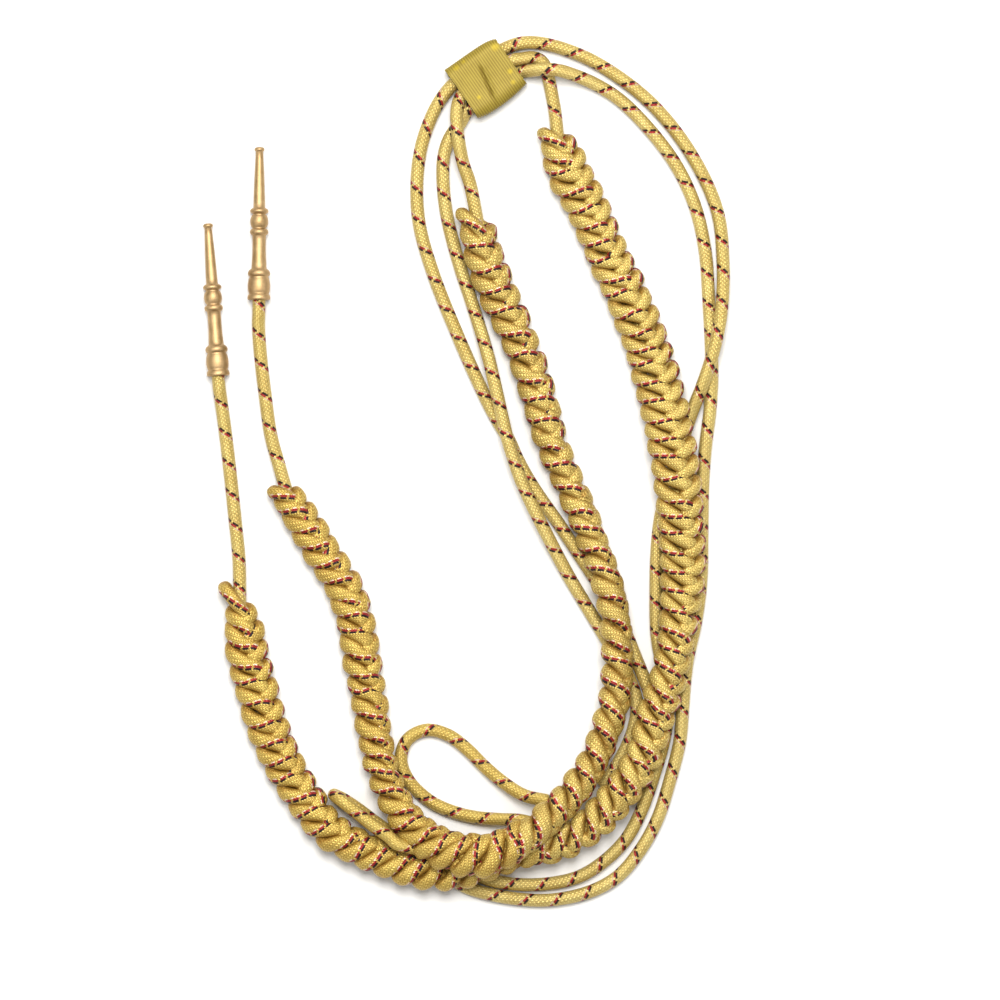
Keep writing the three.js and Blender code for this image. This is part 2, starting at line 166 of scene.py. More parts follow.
SHOULDER = [
    (477, 207, 0.75), (470, 184, 0.65), (463, 163, 0.8), (459, 143, 1.04), (457, 126, 1.13),
    (457, 110, 0.92), (462.1, 95, 0.56), (486.3, 78.1, 0.56), (510.5, 61.2, 0.55),
    (522, 58.8, 0.34), (533, 57.5, 0.08), (541, 60.5, 0), (546.5, 69, 0), (549, 80, 0),
    (552, 95, 0), (555, 112, 0.1), (556, 122, 0.3),
]
FRONT_LOOP = [
    (547, 800, 1.46), (524, 795, 0.8), (503, 782, 0.3), (484, 766, 0), (467, 749, 0),
    (448, 735, 0), (426, 730, 0), (407, 740, 0), (401, 760, 0), (409, 781, 0), (430, 801, 0),
    (451, 811, 0.05), (475, 817, 0.2), (499, 819, 0.6), (520, 819.5, 1.6),
]
BACK_LOOP = [
    (397, 842.4, 2.68), (390, 836, 2.45), (374, 825, 1.9), (356, 811, 1.6), (342, 800, 1.5),
    (335, 795, 1), (335, 795, 0.5), (343, 799, 0.05), (358, 809, 0), (378, 824, 0),
    (398, 838, 0), (413, 847, 0),
]
TAG_CORD_LEFT = [
    (221, 400, 0.22), (225, 430, 0), (230, 472, 0), (235, 519, 0), (239, 560, 0),
    (239, 585, 0.3),
]
TAG_CORD_RIGHT = [
    (258.5, 324, 0.22), (260, 350, 0.02), (265, 394, 0), (271, 436, 0), (279, 465, 0.1),
    (283, 480, 0.35),
]

# Tag places: u and v of the tip and of the cord end
TAG_LEFT = {"tip": (208, 226), "foot": (218.5, 376)}
TAG_RIGHT = {"tip": (259.5, 147), "foot": (259, 300)}

# Turned tag, from the cord end to the tip: name, length, radius at start, middle and end (mm)
TAG_ROWS = [
    ("rim", 3.0, 5.5, 5.7, 5.0),
    ("barrel", 8.6, 4.9, 5.6, 4.6),
    ("shoulder", 3.9, 4.7, 5.6, 4.1),
    ("stem", 16.8, 3.8, None, 3.4),
    ("lower_collar", 3.4, 3.6, 4.65, 3.5),
    ("ball", 7.3, 3.2, 4.5, 3.1),
    ("upper_collar", 3.0, 3.4, 4.65, 3.3),
    ("taper", 28.4, 2.9, None, 1.8),
    ("tip", 2.1, 2.0, 2.5, 1.7),
]

# Tag details in millimetres, and how full its beads are
SOCKET_ROOM = 0.5
SOCKET_EDGE = 0.25
RIM_EDGE = 0.3
STEM_WAIST = -0.25
TAPER_SWELL = 0.12
STEM_GAP = 0.15
BEAD_GAP = 0.1
BEAD_FULL = 0.6
TIP_FLAT = 1.3

# One stitch of the plait: bearing from the front (degrees), reach from the axis,
# place along in pitches, and how far the section spreads from round to its full width
STITCH = [
    (58, 0.56, 0.62, 0.7),
    (26, 0.96, 0.38, 1.15),
    (-10, 1.02, 0.03, 1.15),
    (-48, 1.04, -0.35, 1.05),
    (-86, 1.02, -0.70, 0.9),
    (-122, 0.86, -0.98, 0.5),
    (-172, 0.40, -1.14, 0.0),
    (134, 0.74, -0.92, 0.2),
    (100, 1.06, -0.72, 0.8),
    (68, 1.08, -0.54, 1.1),
    (44, 0.98, -0.34, 1.0),
    (18, 0.82, -0.15, 0.8),
    (182, 0.86, 0.46, 0.0),
]
LEFT_ARM = 3
STITCH_RINGS = 46

# Half width of a whole stitch in stitches, the half width of chain that it is drawn for, and
# how much more its arms are pulled back in a wider or tighter chain
STITCH_FULL = 0.385
USUAL_ACROSS = 0.0075
PULL_POWER = 0.65

# How much the stitches vary: lean along, swell, reach, turn in degrees and tracer in radians
LEAN = 0.09
SWELL = 0.1
STRETCH = 0.04
TWIST = 7
WANDER = 0.7

# The loose bight before the first stitch: share of its offset to the right and along, and
# millimetres to the right, along and up from the start of the plait's axis
BIGHT = [
    (0.0, 0.0, 2.5, 10.0, 0.0),
    (0.0, 0.0, 2.2, 7.2, 2.8),
    (0.2, 0.2, 0.6, 3.2, 4.4),
    (0.62, 0.6, 0.2, 1.2, 4.2),
    (0.95, 0.85, 0.0, 0.0, 2.4),
    (1.0, 1.0, 0.0, 0.0, -0.8),
    (0.8, 0.8, 0.2, 1.6, -3.2),
    (0.3, 0.3, 0.5, 3.0, -3.7),
]

# Row of the bight where the tracer shows, and how far it turns from the front there and in a stitch
BIGHT_TOP = 3
BIGHT_TILT = 0.5
STITCH_TILT = 0.85

# Braid: rows of grains round a cord, millimetres from grain to grain, and their slant
GRAIN_ROWS = 16.0
GRAIN_LONG = 1.05
GRAIN_SLANT = 0.85

# Tracer: millimetres from dash to dash, their lean round the cord, and the threads' colours
DASH_LONG = 2.75
DASH_LEAN = -9.6
RED_THREAD = (0.27, 0.016, 0.014, 1)
DARK_THREAD = (0.018, 0.008, 0.006, 1)
PALE_THREAD = (0.66, 0.50, 0.36, 1)

# Tracer width in turns, dashes in each dash length, and the share of it that is dashed
CORD_TRACER = (0.22, 1.0, 0.72)
PLAIT_TRACER = (0.15, 0.85, 0.76)

# Ribbon: threads round it, and brighter yellow spots on its face as u, v and radius
RIBBON_THREADS = 110
YELLOW_SPOTS = [
    (456, 68, 0.0022),
    (463, 62, 0.0016),
    (495, 48, 0.0026),
    (510, 72, 0.0018),
    (513, 83, 0.0016),
    (479, 98, 0.0014),
]


def on_grid(row, floor):
    """The place of a row that starts with u, v and lift."""
    u, v, lift = row[:3]
    return np.array([(u - GRID_U) * GRID, (GRID_V - v) * GRID, floor + lift * LIFT])


def unit(v):
    return v / np.maximum(np.linalg.norm(v, axis=-1, keepdims=True), 1e-12)


class Route:
    """A centripetal curve through points, never lower than its floor, by arc length."""

    def __init__(self, points, floor, shares=None):
        shares = np.ones(len(points)) if shares is None else shares
        dense = smooth(np.column_stack([points, shares]), 40, linear=(3,))
        dense[:, 2] = np.maximum(dense[:, 2], floor)
        self.at_points = dense[:, :3]
        self.shares = dense[:, 3]
        steps = np.linalg.norm(np.diff(self.at_points, axis=0), axis=1)
        self.s = np.concatenate([[0], np.cumsum(steps)])
        self.length = self.s[-1]

    def point(self, s):
        return np.array([np.interp(s, self.s, self.at_points[:, i]) for i in range(3)])

    def at(self, s):
        inside = min(max(s, 0.0), self.length)
        return self.point(inside) + self.along(inside) * (s - inside)

    def along(self, s):
        h = 0.0015
        inside = min(max(s, 0.0), self.length)
        return unit(self.point(inside + h) - self.point(inside - h))

    def share(self, s):
        return float(np.interp(s, self.s, self.shares))

    def even(self, step):
        n = max(int(round(self.length / step)), 2)
        return np.array([self.at(self.length * i / n) for i in range(n + 1)])


def smooth(rows, steps, linear=()):
    """Dense rows of a centripetal Catmull-Rom curve; the first three columns are the place."""
    rows = np.array(rows)
    ends = np.vstack([2 * rows[0] - rows[1], rows, 2 * rows[-1] - rows[-2]])
    w = np.linspace(0, 1, steps, endpoint=False)[:, None]
    out = []
    for i in range(1, len(ends) - 2):
        p0, p1, p2, p3 = ends[i - 1], ends[i], ends[i + 1], ends[i + 2]
        d0, d1, d2 = (max(np.linalg.norm(far[:3] - near[:3]) ** 0.5, 1e-6)
                      for near, far in ((p0, p1), (p1, p2), (p2, p3)))
        t1 = ((p1 - p0) / d0 - (p2 - p0) / (d0 + d1) + (p2 - p1) / d1) * d1
        t2 = ((p2 - p1) / d1 - (p3 - p1) / (d1 + d2) + (p3 - p2) / d2) * d1
        a, b = 2 * p1 - 2 * p2 + t1 + t2, -3 * p1 + 3 * p2 - 2 * t1 - t2
        seg = a * w ** 3 + b * w ** 2 + t1 * w + p1
        for c in linear:
            seg[:, c] = (p1[c] + (p2[c] - p1[c]) * w)[:, 0]
        out.append(seg)
    out.append(rows[-1:])
    return np.vstack(out)


# Camera and light

scene = bpy.context.scene
scene.view_settings.view_transform = "Standard"
scene.view_settings.look = "None"

camera_data = bpy.data.cameras.new("camera")
camera_data.lens = LENS
camera_data.sensor_width = SENSOR
camera_data.clip_end = 30
camera = bpy.data.objects.new("camera", camera_data)
scene.collection.objects.link(camera)
camera.location = Vector(on_grid((500, 500, 0), AIM_HIGH)) + Vector((0, 0, VIEW_WIDE * LENS / SENSOR))
scene.camera = camera

world = bpy.data.worlds.new("studio")
scene.world = world
world.use_nodes = True
world.node_tree.nodes["Background"].inputs["Color"].default_value = (1.0, 0.99, 0.97, 1)
world.node_tree.nodes["Background"].inputs["Strength"].default_value = 0.27


def light(name, place, aim, size, power):
    data = bpy.data.lights.new(name, "AREA")
    data.shape = "RECTANGLE"
    data.size, data.size_y = size
    data.energy = power
    data.color = (1.0, 0.985, 0.955)
    obj = bpy.data.objects.new(name, data)
    obj.location = place
    obj.rotation_euler = (Vector(aim) - Vector(place)).to_track_quat("-Z", "Y").to_euler()
    obj.visible_camera = False
    scene.collection.objects.link(obj)


# One large light above the far side, and low ones round the edge: place and power
light("top", (0.0, 0.85, 3.0), (0.0, 0.0, 0.0), (1.25, 1.25), 112.0)
for name, x, y, power in (("far", 0.0, 0.58, 1.9), ("near", 0.0, -0.58, 0.5),
                          ("left", -0.5, 0.0, 1.15), ("right", 0.5, 0.0, 1.15)):
    light(name, (x, y, 0.5), (x / 4, y / 4, 0.0), (0.6, 0.25), power)


# Materials

class Nodes:
    """Short calls for a material's node tree."""

    def __init__(self, name):
        self.material = bpy.data.materials.new(name)
        self.material.use_nodes = True
        self.tree = self.material.node_tree
        self.shader = self.tree.nodes["Principled BSDF"]

    def node(self, kind, **settings):
        n = self.tree.nodes.new(kind)
        for key, value in settings.items():
            setattr(n, key, value)
        return n

    def put(self, socket, value):
        if isinstance(value, bpy.types.NodeSocket):
            self.tree.links.new(value, socket)
        else:
            socket.default_value = value

    def math(self, operation, a, b=0.0, c=0.0):
        n = self.node("ShaderNodeMath", operation=operation)
        for socket, value in zip(n.inputs, (a, b, c)):
            self.put(socket, value)
        return n.outputs[0]

    def mix(self, share, a, b):
        n = self.node("ShaderNodeMix", data_type="RGBA")
        self.put(n.inputs["Factor"], share)
        self.put(n.inputs[6], a)
        self.put(n.inputs[7], b)
        return n.outputs[2]

    def noise(self, scale, detail, where=None):
        n = self.node("ShaderNodeTexNoise")
        self.put(n.inputs["Scale"], scale)
        self.put(n.inputs["Detail"], detail)
        self.put(n.inputs["Vector"], self.place() if where is None else where)
        return n.outputs["Fac"]

    def place(self):
        return self.node("ShaderNodeTexCoord").outputs["Object"]

    def uv(self):
        split = self.node("ShaderNodeSeparateXYZ")
        self.put(split.inputs[0], self.node("ShaderNodeUVMap", uv_map="cord").outputs[0])
        return split.outputs[0], split.outputs[1]

    # The painted crease shade that a mesh carries per vertex
    def painted_crease_shade(self):
        return self.node("ShaderNodeAttribute", attribute_name="painted_crease_shade").outputs["Fac"]

    def clamp(self, value, high=1.0):
        return self.math("MINIMUM", self.math("MAXIMUM", value, 0.0), high)

    def wave(self, place):
        """A wave between 0 and 1 that repeats with each unit of place."""
        turned = self.math("COSINE", self.math("MULTIPLY", place, 2 * math.pi))
        return self.math("MULTIPLY_ADD", turned, 0.5, 0.5)

    def vary(self, tone, pattern, share):
        """The tone, up and down by a share of the pattern."""
        return self.math("MULTIPLY_ADD", self.math("SUBTRACT", pattern, 0.5), share, tone)

    def bump(self, height, distance, strength):
        n = self.node("ShaderNodeBump")
        self.put(n.inputs["Strength"], strength)
        self.put(n.inputs["Distance"], distance)
        self.put(n.inputs["Height"], height)
        return n.outputs["Normal"]

    def set(self, **values):
        for key, value in values.items():
            self.put(self.shader.inputs[key.replace("_", " ")], value)


def herringbone(n, u, v):
    """Height of the braid's grains, slanted one way and the other in rows by turns."""
    across = n.math("MULTIPLY", u, GRAIN_ROWS)
    row = n.math("FLOOR", across)
    in_row = n.math("SUBTRACT", n.math("SUBTRACT", across, row), 0.5)
    side = n.math("SUBTRACT", n.math("MULTIPLY", n.math("FLOORED_MODULO", row, 2.0), 2.0), 1.0)
    slant = n.math("MULTIPLY", n.math("MULTIPLY", in_row, side), GRAIN_SLANT)
    grain = n.wave(n.math("ADD", n.math("MULTIPLY", v, 1.0 / GRAIN_LONG), slant))
    edge = n.math("SUBTRACT", 1.0, n.math("MULTIPLY", n.math("MULTIPLY", in_row, in_row), 2.6))
    return n.math("MULTIPLY", n.math("POWER", grain, 0.6), edge)


def with_tracer(n, gold, u, v, tracer_turns, beats, dash):
    """The gold with a dark and a red thread that dash together, and a pale one beside them."""
    from_tracer = n.math("SUBTRACT", n.math("FLOORED_MODULO", n.math("ADD", u, 0.5), 1.0), 0.5)
    t = n.math("DIVIDE", from_tracer, tracer_turns)
    inside = n.math("LESS_THAN", n.math("ABSOLUTE", t), 0.5)
    dark_row = n.math("LESS_THAN", t, -0.12)
    pale_row = n.math("GREATER_THAN", t, 0.28)
    beat = n.math("MULTIPLY", n.math("MULTIPLY_ADD", u, DASH_LEAN, v), 1.0 / DASH_LONG)
    thread_beat = n.math("MULTIPLY", beat, beats)
    dark_dash = n.math("LESS_THAN", n.math("FRACT", thread_beat), dash)
    red_dash = n.math("LESS_THAN", n.math("FRACT", n.math("ADD", thread_beat, 0.15)), dash)
    pale_dash = n.math("GREATER_THAN", n.math("FRACT", beat), 0.5)
    red = n.mix(red_dash, gold, RED_THREAD)
    dark = n.mix(dark_dash, gold, DARK_THREAD)
    pale = n.mix(pale_dash, gold, PALE_THREAD)
    tracer = n.mix(pale_row, n.mix(dark_row, red, dark), pale)
    return n.mix(inside, gold, tracer)


def braid_material(name, light_gold, deep_gold, tracer):
    """Braided metallic cord. u is turns round the cord from the tracer, and v millimetres along."""
    n = Nodes(name)
    u, v = n.uv()
    height = herringbone(n, u, v)
    # Colour by grain height: painted shade in the hollows between grains and lighter grain tops, which also
    # draws the herringbone pattern
    tone = n.math("MULTIPLY_ADD", height, 0.8, 0.14)
    tone = n.vary(tone, n.noise(1100.0, 2.0), 0.3)
    tone = n.vary(tone, n.noise(120.0, 2.0), 0.5)
    # Painted crease shade: darker on the flanks of plait lobes, where each meets the next
    tone = n.math("MULTIPLY", tone, n.math("SUBTRACT", 1.0, n.painted_crease_shade()))
    gold = n.mix(n.clamp(tone), (*deep_gold, 1), (*light_gold, 1))
    n.set(Base_Color=with_tracer(n, gold, u, v, *tracer))
    n.set(Metallic=0.5, Roughness=0.44, Specular_IOR_Level=0.5)
    n.set(Normal=n.bump(height, 0.0003, 0.7))
    return n.material


def ribbon_material():
    """Ribbed grosgrain: dull gold, with painted shade in its rib furrows and pressed groove, and brighter
    yellow spots. u is turns round, and v counts ribs.
    """
    n = Nodes("grosgrain_ribbon")
    u, v = n.uv()
    rib = n.wave(v)
    thread = n.wave(n.math("MULTIPLY", u, RIBBON_THREADS))
    patches = n.noise(160.0, 3.0)
    # Painted shade: darker in the rib furrows and lighter on the rib tops, with random patches of tone
    tone = n.vary(n.math("MULTIPLY_ADD", rib, 0.7, 0.25), patches, 0.6)
    # Painted shade in the pressed line's groove
    tone = n.math("SUBTRACT", tone, n.painted_crease_shade())
    colour = n.mix(n.clamp(tone), (0.15, 0.096, 0.008, 1), (0.315, 0.24, 0.033, 1))
    # How strongly each brighter yellow spot shows, varied by the patch noise
    spot_strength = n.math("MULTIPLY_ADD", patches, 1.2, 0.1)
    place = n.place()
    for u_spot, v_spot, size in YELLOW_SPOTS:
        away = n.node("ShaderNodeVectorMath", operation="DISTANCE")
        n.put(away.inputs[0], place)
        n.put(away.inputs[1], tuple(on_grid((u_spot, v_spot, 0), BAND_HIGH)))
        share = n.clamp(n.math("SUBTRACT", 1.0, n.math("DIVIDE", away.outputs["Value"], size)), 0.7)
        colour = n.mix(n.math("MULTIPLY", share, spot_strength), colour, (0.52, 0.38, 0.008, 1))
    n.set(Base_Color=colour, Metallic=0.2, Roughness=0.55, Specular_IOR_Level=0.3)
    n.set(Normal=n.bump(n.math("MULTIPLY_ADD", thread, 0.1, rib), 0.0003, 0.6))
    return n.material


def brass_material():
    """Satin turned brass with fine tool rings and a little wear. v is millimetres along the tag."""
    n = Nodes("satin_brass")
    u, v = n.uv()
    ring_place = n.node("ShaderNodeCombineXYZ")
    n.put(ring_place.inputs[0], n.math("MULTIPLY", v, 9.0))
    n.put(ring_place.inputs[1], n.math("MULTIPLY", u, 2.0))
    rings = n.noise(1.0, 3.0, ring_place.outputs[0])
    wear = n.noise(220.0, 4.0)
    share = n.math("MULTIPLY_ADD", rings, 0.4, n.math("MULTIPLY_ADD", wear, 1.1, -0.3))
    n.set(Base_Color=n.mix(share, (0.33, 0.205, 0.085, 1), (0.66, 0.475, 0.26, 1)), Metallic=1.0)
    n.set(Roughness=n.math("MULTIPLY_ADD", wear, 0.22, 0.42))
    n.set(Normal=n.bump(rings, 0.00006, 0.5))
    return n.material


# Light and deep gold of each braid: painted shade in hollows and creases darkens towards the deep gold,
# which is also the dark end of the random tone
GOLD = braid_material("gold_braid", (0.69, 0.57, 0.20), (0.35, 0.20, 0.028), CORD_TRACER)
PALE_GOLD = braid_material("pale_gold_braid", (0.72, 0.605, 0.225), (0.38, 0.225, 0.037), CORD_TRACER)
GOLD_LOOP = braid_material("gold_loop_braid", (0.675, 0.53, 0.147), (0.33, 0.18, 0.021), CORD_TRACER)
PALE_LOOP = braid_material("pale_gold_loop_braid", (0.695, 0.55, 0.16), (0.35, 0.20, 0.026), CORD_TRACER)
GOLD_PLAIT = braid_material("gold_plait_braid", (0.66, 0.53, 0.155), (0.26, 0.122, 0.01), PLAIT_TRACER)
PALE_PLAIT = braid_material("pale_gold_plait_braid", (0.69, 0.563, 0.172), (0.29, 0.14, 0.012), PLAIT_TRACER)
GOLD_TAIL = braid_material("gold_tail_braid", (0.655, 0.50, 0.12), (0.255, 0.112, 0.007), PLAIT_TRACER)
PALE_TAIL = braid_material("pale_gold_tail_braid", (0.68, 0.525, 0.13), (0.28, 0.128, 0.008), PLAIT_TRACER)
RIBBON = ribbon_material()
BRASS = brass_material()


# Meshes

def build_mesh(name, verts, faces, uvs, material, node, painted_crease_shade=None):
    """uvs has one pair for each face corner, in the order of the faces."""
    mesh = bpy.data.meshes.new(name)
    mesh.from_pydata([tuple(v) for v in verts], [], faces)
    layer = mesh.uv_layers.new(name="cord")
    layer.data.foreach_set("uv", np.array(uvs, np.float32).ravel())
    if painted_crease_shade is not None:
        mesh.attributes.new("painted_crease_shade", "FLOAT", "POINT").data.foreach_set("value", painted_crease_shade)
    mesh.shade_smooth()
    mesh.materials.append(material)
    mesh.validate()
    obj = bpy.data.objects.new(name, mesh)
    scene.collection.objects.link(obj)
    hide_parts(node)
    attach(obj, "root")
    return obj


def transported(path):
    """Tangents and turn-free side vectors along a path."""
    along = unit(np.gradient(path, axis=0))
    first = np.cross(along[0], (0.0, 0.0, 1.0))
    if np.linalg.norm(first) < 0.2:
        first = np.cross(along[0], (1.0, 0.0, 0.0))
    side = [unit(first)]
    for i in range(1, len(path)):
        side.append(unit(side[-1] - along[i] * np.dot(side[-1], along[i])))
    side = np.array(side)
    return along, side, np.cross(along, side)


def dome(verts, faces, uvs, first, centre, spokes, push, turn, v, way):
    """Close the tube's end whose ring starts at vertex first: a smaller ring and a middle point.
    way is -1 at the start of the tube and 1 at its end."""
    start = len(verts)
    verts += list(centre + push * DOME_RING_OUT + spokes * DOME_RING_WIDE)
    verts.append(centre + push)
    v_ring, v_point = v + DOME_V / 2 * way, v + DOME_V * way
    for j in range(TUBE_SIDES):
        k = (j + 1) % TUBE_SIDES
        u0, u1 = j / TUBE_SIDES - turn, (j + 1) / TUBE_SIDES - turn
        quad = [first + j, first + k, start + k, start + j]
        fan = [start + j, start + k, start + TUBE_SIDES]
        quad_uv = [(u0, v), (u1, v), (u1, v_ring), (u0, v_ring)]
        fan_uv = [(u0, v_ring), (u1, v_ring), ((u0 + u1) / 2, v_point)]
        if way < 0:
            quad, fan = quad[::-1], fan[::-1]
            quad_uv, fan_uv = quad_uv[::-1], fan_uv[::-1]
        faces += [tuple(quad), tuple(fan)]
        uvs += quad_uv + fan_uv


def sweep(name, path, wide, deep, outward, tracer, material, node, flank_shade=0.0, square=2.0):
    """A closed tube of cord. wide and deep are the half sizes of its section, deep along outward,
    the flank shade is painted shade darkening its flanks where the lobes of a plait meet, and square makes
    its section squarer than an ellipse."""
    count = len(path)
    along, side, other = transported(path)
    out = unit(outward - along * np.sum(outward * along, axis=1, keepdims=True))
    flat = np.cross(along, out)
    angles = np.arange(TUBE_SIDES)[None, :, None] / TUBE_SIDES * 2 * math.pi
    spokes = np.cos(angles) * side[:, None, :] + np.sin(angles) * other[:, None, :]
    over = np.sum(spokes * out[:, None, :], axis=2)
    flank = np.sum(spokes * flat[:, None, :], axis=2)
    radius = np.abs(over / deep[:, None]) ** square + np.abs(flank / wide[:, None]) ** square
    spokes = spokes * (radius ** (-1 / square))[:, :, None]
    verts = list((path[:, None, :] + spokes).reshape(-1, 3))

    steps = np.concatenate([[0], np.cumsum(np.linalg.norm(np.diff(path, axis=0), axis=1))])
    turn = tracer(steps, along, side, other) / (2 * math.pi)
    v_mm = steps * 1000
    faces, uvs = [], []
    for i in range(count - 1):
        base = i * TUBE_SIDES
        for j in range(TUBE_SIDES):
            k = (j + 1) % TUBE_SIDES
            faces.append((base + j, base + k, base + TUBE_SIDES + k, base + TUBE_SIDES + j))
            u0, u1 = j / TUBE_SIDES, (j + 1) / TUBE_SIDES
            uvs += [(u0 - turn[i], v_mm[i]), (u1 - turn[i], v_mm[i]),
                    (u1 - turn[i + 1], v_mm[i + 1]), (u0 - turn[i + 1], v_mm[i + 1])]
    for end, way in ((0, -1.0), (count - 1, 1.0)):
        push = along[end] * way * deep[end] * DOME
        dome(verts, faces, uvs, end * TUBE_SIDES, path[end], spokes[end], push, turn[end], v_mm[end], way)

    # Painted crease shade: the flanks of the section, where a plait's lobes meet, are darkened in the colour
    # by this per-vertex value
    painted_crease_shade = np.zeros(len(verts), np.float32)
    dark = np.clip((np.abs(flank) - FLANK_START) / FLANK_FADE, 0, 1)
    painted_crease_shade[:count * TUBE_SIDES] = (flank_shade * dark).ravel()
    return build_mesh(name, verts, faces, uvs, material, node, painted_crease_shade)


# Plaits

def bight_rows(route, bight, deep):
    """Places, outward directions and half widths of the loose bight that starts a plait."""
    start, heading = route.at(0.0), route.along(0.0)
    right = unit(np.cross(UP, heading))
    rise = np.cross(heading, right)
    rows = []
    for share_x, share_s, x, s, z in BIGHT:
        x, s, z = x / 1000 + share_x * bight[0], s / 1000 + share_s * bight[1], z / 1000
        out = unit(right * (x - 0.3 * bight[0]) * 0.2 + rise * z)
        rows.append(np.concatenate([start + right * x + heading * s + rise * z, out, [deep]]))
    return rows


def plait_tracer(dense, marks, route):
    """Turns the tracer to the front where each left arm shows, and winds it evenly between."""
    def tracer(steps, along, side, other):
        knots_s, knots_a = [0.0], [0.0]
        for m, tilt in marks:
            out = unit(dense[m, 3:6] - along[m] * np.dot(dense[m, 3:6], along[m]))
            flow = np.cross(along[m], out)
            if np.dot(flow, route.along(m / len(dense) * route.length)) < 0:
                flow = -flow
            look = out * math.cos(tilt) + flow * math.sin(tilt)
            want = math.atan2(np.dot(look, other[m]), np.dot(look, side[m]))
            natural = knots_a[-1] - (steps[m] - knots_s[-1]) * 2 * math.pi / PLAIT_TRACER_PITCH
            knots_a.append(want + 2 * math.pi * round((natural - want) / (2 * math.pi)))
            knots_s.append(steps[m])
        tail = steps[-1] - knots_s[-1]
        knots_s.append(steps[-1] + 1e-6)
        knots_a.append(knots_a[-1] - tail * 2 * math.pi / PLAIT_TRACER_PITCH)
        return np.interp(steps, knots_s, knots_a)
    return tracer


def plait(name, rows, pitch, roll, bight, seed, material):
    """A chain of looped cord along a route. Every stitch is the same short list, jittered.
    roll turns the chain about its axis: shares of its length, and degrees. bight moves the
    loose bight at its start: metres to the right and along."""
    rng = np.random.default_rng(seed)
    middle = PLAIT_DEEP / 2
    route = Route([on_grid(r, middle) for r in rows], middle, [r[3] for r in rows])
    count = int(round(route.length / pitch))
    step = route.length / count
    deep = PLAIT_CORD_R
    high = middle - deep
    table = bight_rows(route, bight, deep)
    marks = [(BIGHT_TOP, BIGHT_TILT)]
    for k in range(count):
        tip = (k + 1) * step
        lean = rng.uniform(-LEAN, LEAN)
        swell = rng.uniform(1 - SWELL, 1 + SWELL)
        wander = rng.uniform(-WANDER, WANDER)
        across = PLAIT_WIDE * route.share(tip - 0.5 * step) / 2 - deep
        pull = (across / USUAL_ACROSS * OUTER_PITCH / step) ** PULL_POWER
        spread = STITCH_FULL * step * swell - deep
        for i, (bearing, reach, back, wide) in enumerate(STITCH):
            s = tip + (back + lean * rng.uniform(0, 1)) * step * (pull if back < 0 else 1)
            at, along = route.at(s), route.along(s)
            right = unit(np.cross(UP, along))
            rise = np.cross(along, right)
            turn = math.radians(bearing + np.interp(s / route.length, *roll) + rng.uniform(-TWIST, TWIST))
            reach *= 1 + rng.uniform(-STRETCH, STRETCH)
            place = at + right * across * reach * math.sin(turn) + rise * high * reach * math.cos(turn)
            out = unit(right * math.sin(turn) / across + rise * math.cos(turn) / high)
            if i == LEFT_ARM:
                marks.append((len(table), STITCH_TILT + wander))
            table.append(np.concatenate([place, out, [deep + wide * spread]]))
    dense = smooth(table, STITCH_RINGS // len(STITCH) + 2)
    dense[:, 2] = np.maximum(dense[:, 2], deep + FLOOR_GAP)
    per = (len(dense) - 1) / (len(table) - 1)
    marks = [(int(round(m * per)), tilt) for m, tilt in marks]
    sweep(name + "_chain", dense[:, :3], dense[:, 6], np.full(len(dense), deep), dense[:, 3:6],
          plait_tracer(dense, marks, route), material, name,
          flank_shade=PLAIT_FLANK_SHADE, square=PLAIT_SQUARE)
    return route


inner_upper_route = plait(
    "inner_plait_upper", INNER_UPPER, INNER_PITCH, ((0, 0.4, 0.55, 1), (3, 6, 40, 40)),
    (-0.0085, -0.0035), 11, GOLD_PLAIT)
inner_lower_route = plait(
    "inner_plait_lower", INNER_LOWER, TAIL_PITCH, ((0, 0.25, 0.5, 0.7, 0.85, 1), (4, 12, 26, 34, 52, 52)),
    (-0.0044, -0.0022), 12, GOLD_TAIL)
outer_upper_route = plait(
    "outer_plait_upper", OUTER_UPPER, OUTER_PITCH, ((0, 0.6, 0.85, 1), (3, 5, 22, 22)),
    (-0.0055, -0.003), 13, PALE_PLAIT)
outer_lower_route = plait(
    "outer_plait_lower", OUTER_LOWER, TAIL_PITCH, ((0, 0.5, 0.7, 1), (4, 8, 40, 45)),
    (-0.0044, -0.0085), 14, PALE_TAIL)


# Plain cords

def cord(name, points, start, material):
    """A plain cord along its route. Its tracer winds evenly from the angle start, in radians."""
    route = Route(points, CORD_R)
    path = route.even(CORD_STEP)
    n = len(path)

    def tracer(steps, along, side, other):
        return start - steps * 2 * math.pi / CORD_TRACER_PITCH

    obj = sweep(name + "_braid", path, np.full(n, CORD_R), np.full(n, CORD_R), np.tile(UP, (n, 1)), tracer,
                material, name)


def meeting(route):
    """Where a cord runs in under the loose bight at the start of a plait."""
    return [route.at(0.0) + route.along(0.0) * RUN_IN]


def laid(rows):
    return [on_grid(r, CORD_R) for r in rows]


# Routes run on by a point or two under the plait that hides the cord's end
shoulder = meeting(inner_upper_route)[::-1] + laid(SHOULDER[1:-1]) + meeting(outer_upper_route)
cord("arm_cord_outer", laid(ARM_OUTER + [(476, 874, 0), (463, 868, 0)]), 0.4, GOLD)
cord("arm_cord_inner", laid(ARM_INNER + [(460, 884, 0), (448, 877, 0)]), 1.9, PALE_GOLD)
cord("shoulder_cord", shoulder, 0.0, GOLD)
cord("front_button_loop", laid(FRONT_LOOP + [(532, 822, 2.0)]), 2.6, GOLD_LOOP)
cord("back_button_loop", laid([(419, 848, 2.0)] + BACK_LOOP), 1.0, PALE_LOOP)


# Tags

def bulge(name):
    """Place along the tag and radius, in millimetres, of the widest part of a turned bead."""
    y = 0.0
    for row_name, long, _, widest, _ in TAG_ROWS:
        if row_name == name:
            return y + long * 0.7, widest
        y += long


